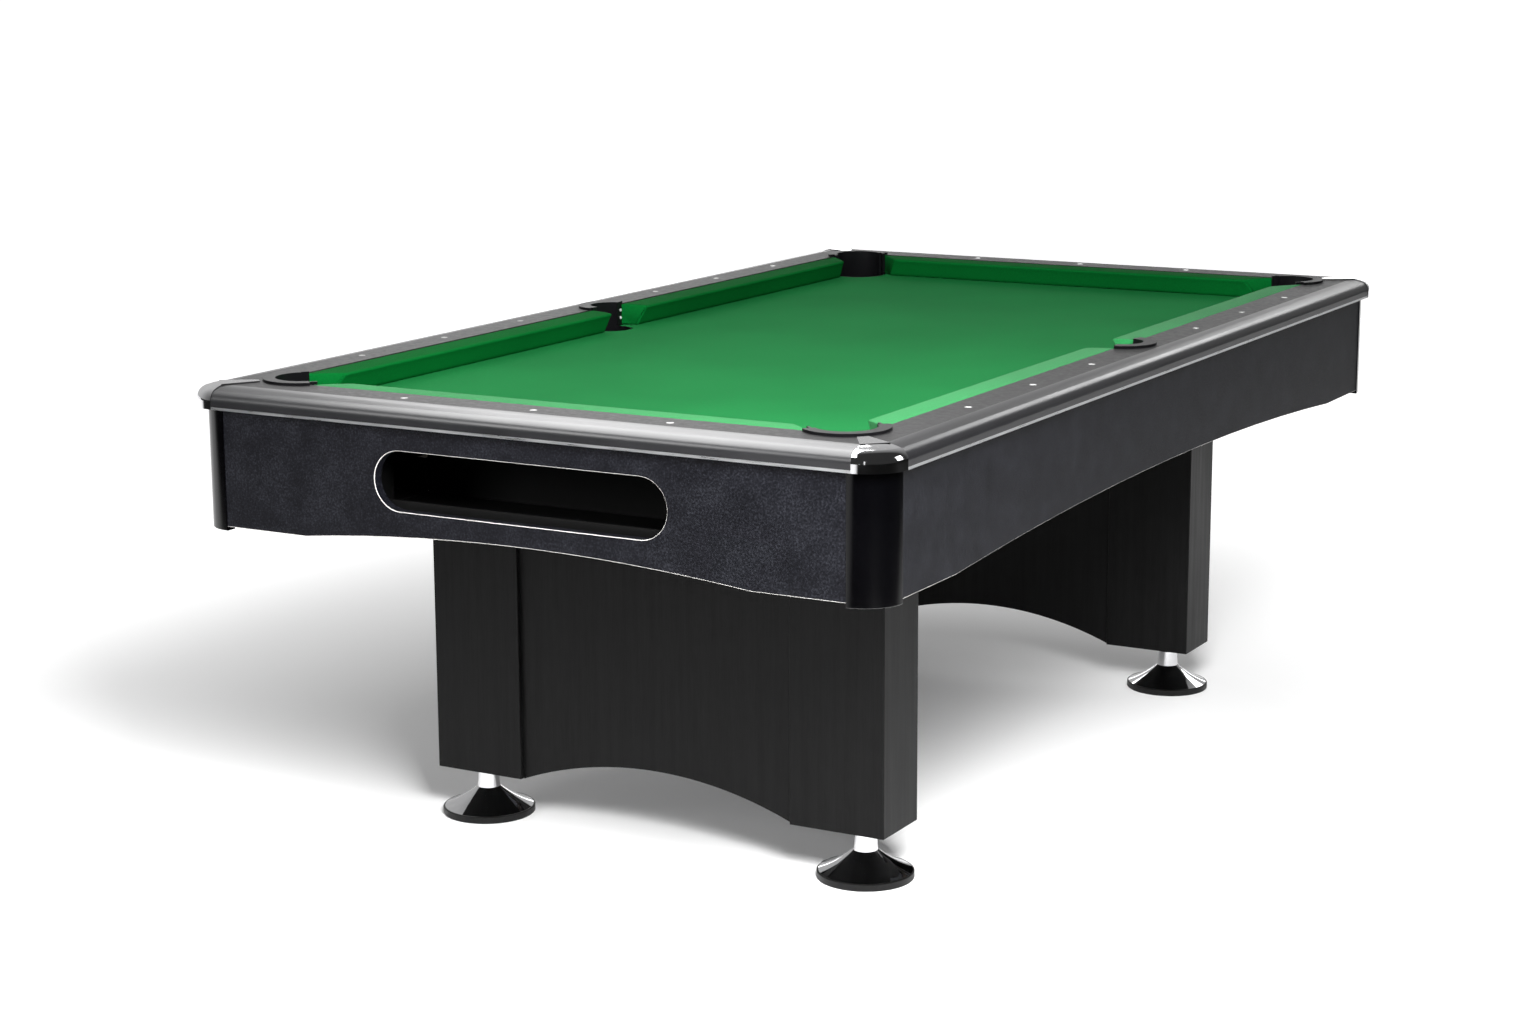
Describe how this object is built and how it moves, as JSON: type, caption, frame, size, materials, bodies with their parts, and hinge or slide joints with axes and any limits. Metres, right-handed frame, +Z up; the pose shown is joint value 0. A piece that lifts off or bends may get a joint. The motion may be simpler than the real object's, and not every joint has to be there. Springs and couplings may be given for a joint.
{
  "type": "pool table",
  "caption": "Seven-foot pool table with green cloth, black rails and apron, chrome corner caps, a ball-return slot and two arched pedestals on levelling feet.",
  "frame": {"origin": "on the floor, under the centre of the table", "axes": "+X across the table, +Y along it away from the end with the ball slot, +Z up"},
  "size_m": [1.3044, 2.2944, 0.8225],
  "materials": {
    "bed_cloth": "tight worsted billiard cloth",
    "cushion_cloth": "tight worsted billiard cloth",
    "rail_laminate": "matt charcoal laminate on timber",
    "bullnose": "satin black moulding",
    "trim": "satin anodised strip",
    "cap_chrome": "polished",
    "apron_laminate": "fine leather-grain black laminate on board",
    "post": "satin black moulding",
    "pedestal_laminate": "matt black laminate with a fine upright grain",
    "foot_chrome": "polished",
    "foot_rubber": "satin black",
    "steel": "zinc plated",
    "pocket": "satin black moulding",
    "screw": "polished",
    "sight": "pearl white",
    "slate": "honed grey slate",
    "timber": "planed softwood",
    "ball_return": "black"
  },
  "bodies": {
    "table": {"leg_front_left": "pedestal_laminate", "pocket_front_left": "pocket", "leg_front_right": "pedestal_laminate", "pocket_front_right": "pocket", "leg_rear_left": "pedestal_laminate", "pocket_rear_left": "pocket", "leg_rear_right": "pedestal_laminate", "pocket_rear_right": "pocket", "pedestal_panels_front": "pedestal_laminate", "apron_front": "apron_laminate", "rail_front": "rail_laminate", "cushion_front": "cushion_cloth", "pedestal_panels_rear": "pedestal_laminate", "apron_rear": "apron_laminate", "rail_rear": "rail_laminate", "cushion_rear": "cushion_cloth", "apron_left": "apron_laminate", "rail_left": "rail_laminate", "pocket_left_middle": "pocket", "cushion_left_front": "cushion_cloth", "cushion_left_rear": "cushion_cloth", "apron_right": "apron_laminate", "rail_right": "rail_laminate", "pocket_right_middle": "pocket", "cushion_right_front": "cushion_cloth", "cushion_right_rear": "cushion_cloth", "slate_front": "slate", "slate_middle": "slate", "slate_rear": "slate", "pedestal_soffits": "pedestal_laminate", "pedestal_tops": "timber", "foot_nut_plates": "steel", "long_beams": "timber", "cross_beams": "timber", "perimeter_frame": "timber", "ball_tray": "ball_return", "side_gutters": "ball_return", "front_gutters": "ball_return", "corner_posts": "post", "bed_cloth": "bed_cloth", "side_bullnoses": "bullnose", "end_bullnoses": "bullnose", "trim_strips": "trim", "rail_sights": "sight", "rail_bolts": "steel", "corner_caps": "cap_chrome", "pocket_screws": "screw"},
    "foot_front_left": {"foot_base_front_left": "foot_chrome", "foot_pad_front_left": "foot_rubber"},
    "stud_front_left": {"foot_stud_front_left": "steel"},
    "foot_front_right": {"foot_base_front_right": "foot_chrome", "foot_pad_front_right": "foot_rubber"},
    "stud_front_right": {"foot_stud_front_right": "steel"},
    "foot_rear_left": {"foot_base_rear_left": "foot_chrome", "foot_pad_rear_left": "foot_rubber"},
    "stud_rear_left": {"foot_stud_rear_left": "steel"},
    "foot_rear_right": {"foot_base_rear_right": "foot_chrome", "foot_pad_rear_right": "foot_rubber"},
    "stud_rear_right": {"foot_stud_rear_right": "steel"}
  },
  "joints": [
    {"name": "foot_front_left_level", "type": "slide", "parent": "table", "child": "foot_front_left", "axis": [0, 0, 1], "range_m": [-0.015, 0.008]},
    {"name": "foot_front_left_screw", "type": "hinge", "parent": "foot_front_left", "child": "stud_front_left", "pos_m": [-0.379, -0.685, 0.1], "axis": [0, 0, 1], "range_deg": [-2710, 1450]},
    {"name": "foot_front_right_level", "type": "slide", "parent": "table", "child": "foot_front_right", "axis": [0, 0, 1], "range_m": [-0.015, 0.008]},
    {"name": "foot_front_right_screw", "type": "hinge", "parent": "foot_front_right", "child": "stud_front_right", "pos_m": [0.379, -0.685, 0.1], "axis": [0, 0, 1], "range_deg": [-2710, 1450]},
    {"name": "foot_rear_left_level", "type": "slide", "parent": "table", "child": "foot_rear_left", "axis": [0, 0, 1], "range_m": [-0.015, 0.008]},
    {"name": "foot_rear_left_screw", "type": "hinge", "parent": "foot_rear_left", "child": "stud_rear_left", "pos_m": [-0.379, 0.685, 0.1], "axis": [0, 0, 1], "range_deg": [-2710, 1450]},
    {"name": "foot_rear_right_level", "type": "slide", "parent": "table", "child": "foot_rear_right", "axis": [0, 0, 1], "range_m": [-0.015, 0.008]},
    {"name": "foot_rear_right_screw", "type": "hinge", "parent": "foot_rear_right", "child": "stud_rear_right", "pos_m": [0.379, 0.685, 0.1], "axis": [0, 0, 1], "range_deg": [-2710, 1450]}
  ],
  "couplings": [
    {"joint": "foot_front_left_screw", "follows": "foot_front_left_level", "rad_per_m": 3141.6},
    {"joint": "foot_front_right_screw", "follows": "foot_front_right_level", "rad_per_m": 3141.6},
    {"joint": "foot_rear_left_screw", "follows": "foot_rear_left_level", "rad_per_m": 3141.6},
    {"joint": "foot_rear_right_screw", "follows": "foot_rear_right_level", "rad_per_m": 3141.6}
  ]
}
